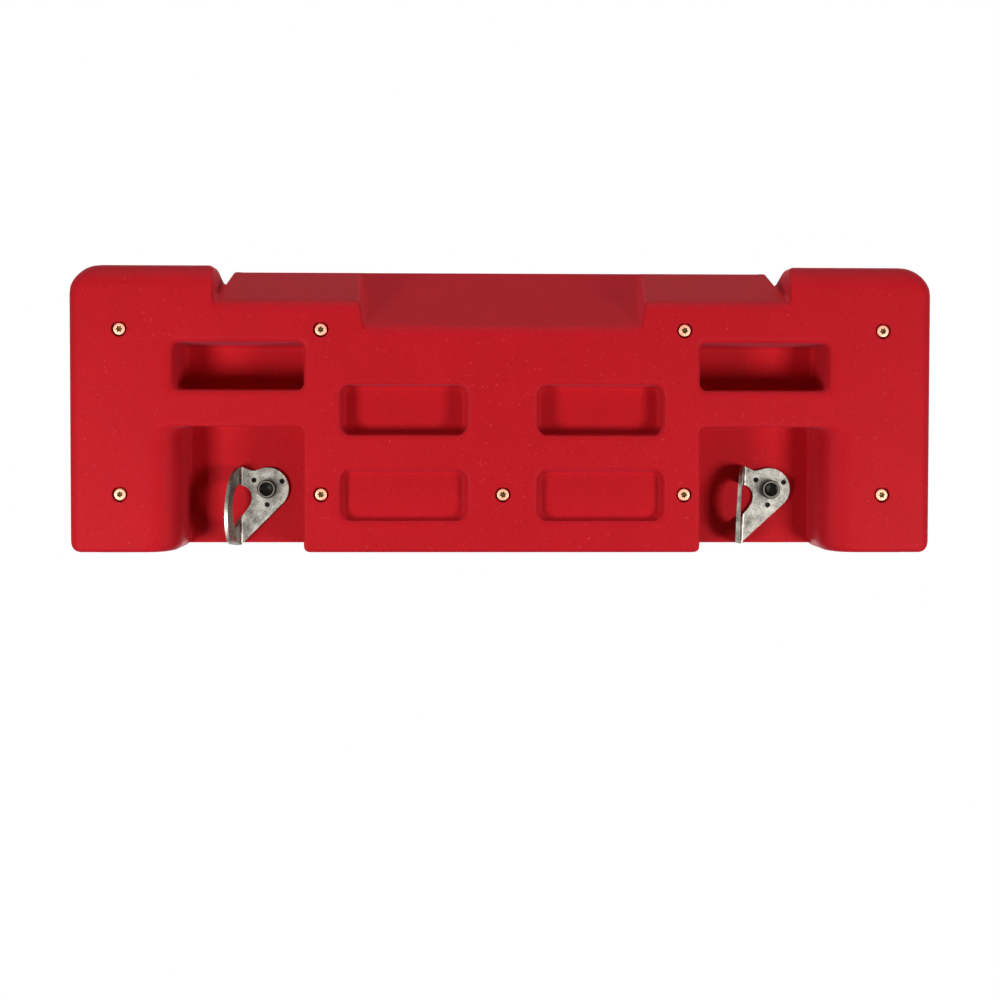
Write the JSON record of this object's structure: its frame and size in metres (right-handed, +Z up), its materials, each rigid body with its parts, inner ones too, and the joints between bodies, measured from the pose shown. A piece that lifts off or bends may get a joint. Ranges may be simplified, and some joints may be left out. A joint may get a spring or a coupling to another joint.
{
  "type": "hangboard",
  "caption": "Wall-mounted climbing training board of cast resin with slopers, finger pockets and two open niches that hold swivelling bolt hangers.",
  "frame": {"origin": "centre of the board's flat back face, which lies on the wall", "axes": "+X to the right along the board as the climber sees it, +Y into the wall, +Z up; the climber stands at -Y"},
  "size_m": [0.711, 0.1012, 0.237],
  "materials": {
    "cast_resin": "satin, fine sandy texture",
    "yellow_zinc": "yellow zinc plated",
    "stainless": "tumbled stainless steel",
    "black_oxide": "black oxide",
    "bright_zinc": "bright zinc plated"
  },
  "bodies": {
    "board": {"board_body": "cast_resin", "wood_screw_1": "yellow_zinc", "wood_screw_2": "yellow_zinc", "wood_screw_3": "yellow_zinc", "wood_screw_4": "yellow_zinc", "wood_screw_5": "yellow_zinc", "wood_screw_6": "yellow_zinc", "wood_screw_7": "yellow_zinc", "wood_screw_8": "yellow_zinc", "wood_screw_9": "yellow_zinc", "cap_screw_left": "black_oxide", "cap_screw_right": "black_oxide", "threaded_insert_left": "bright_zinc", "threaded_insert_right": "bright_zinc"},
    "hanger_left": {"hanger_left": "stainless"},
    "hanger_right": {"hanger_right": "stainless"}
  },
  "joints": [
    {"name": "hanger_left_swivel", "type": "hinge", "parent": "board", "child": "hanger_left", "pos_m": [-0.1986, -0.0168, -0.068], "axis": [0, 1, 0], "range_deg": [-60, 125]},
    {"name": "hanger_right_swivel", "type": "hinge", "parent": "board", "child": "hanger_right", "pos_m": [0.23, -0.0168, -0.068], "axis": [0, 1, 0], "range_deg": [-60, 125]}
  ]
}
